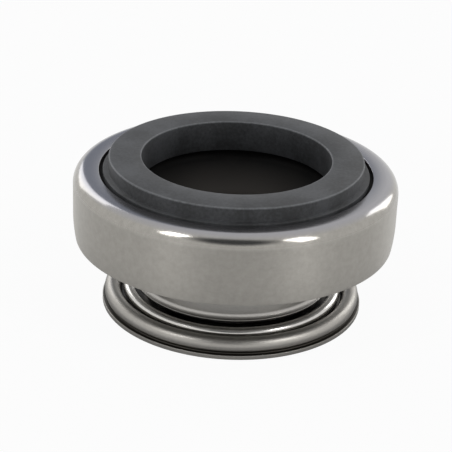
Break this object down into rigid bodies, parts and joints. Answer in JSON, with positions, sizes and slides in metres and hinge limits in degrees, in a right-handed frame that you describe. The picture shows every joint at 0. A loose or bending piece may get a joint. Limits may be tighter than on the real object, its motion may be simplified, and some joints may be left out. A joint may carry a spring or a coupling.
{
  "type": "mechanical seal head",
  "caption": "Rubber bellows mechanical seal head: stepped carbon ring in a drawn steel shell on a sprung tail that grips the shaft.",
  "frame": {"origin": "centre of the spring holder's underside, on the shaft axis", "axes": "+Z along the shaft towards the sealing face"},
  "size_m": [0.036, 0.036, 0.0174],
  "materials": {
    "carbon_graphite": "matt carbon graphite, fine turned, face lapped",
    "satin_steel": "drawn stainless sheet, satin side and polished shoulder",
    "rolled_steel": "cold rolled stainless sheet",
    "drawn_steel": "drawn stainless sheet",
    "spring_wire": "bright drawn stainless spring wire",
    "pressed_steel": "pressed stainless sheet, satin bead",
    "nitrile_rubber": "black moulded nitrile rubber"
  },
  "bodies": {
    "tail": {"spring_holder": "pressed_steel", "drive_band": "rolled_steel", "spring": "spring_wire", "bellows": "nitrile_rubber"},
    "head": {"seal_ring": "carbon_graphite", "shell": "satin_steel", "thrust_disc": "rolled_steel", "spring_cup": "drawn_steel"}
  },
  "joints": [
    {"name": "face_travel", "type": "slide", "parent": "tail", "child": "head", "axis": [0, 0, -1], "range_m": [0, 0.0012], "stiffness_N_per_m": 2000, "springref_m": -0.0005, "deforming": ["spring", "bellows"]}
  ]
}
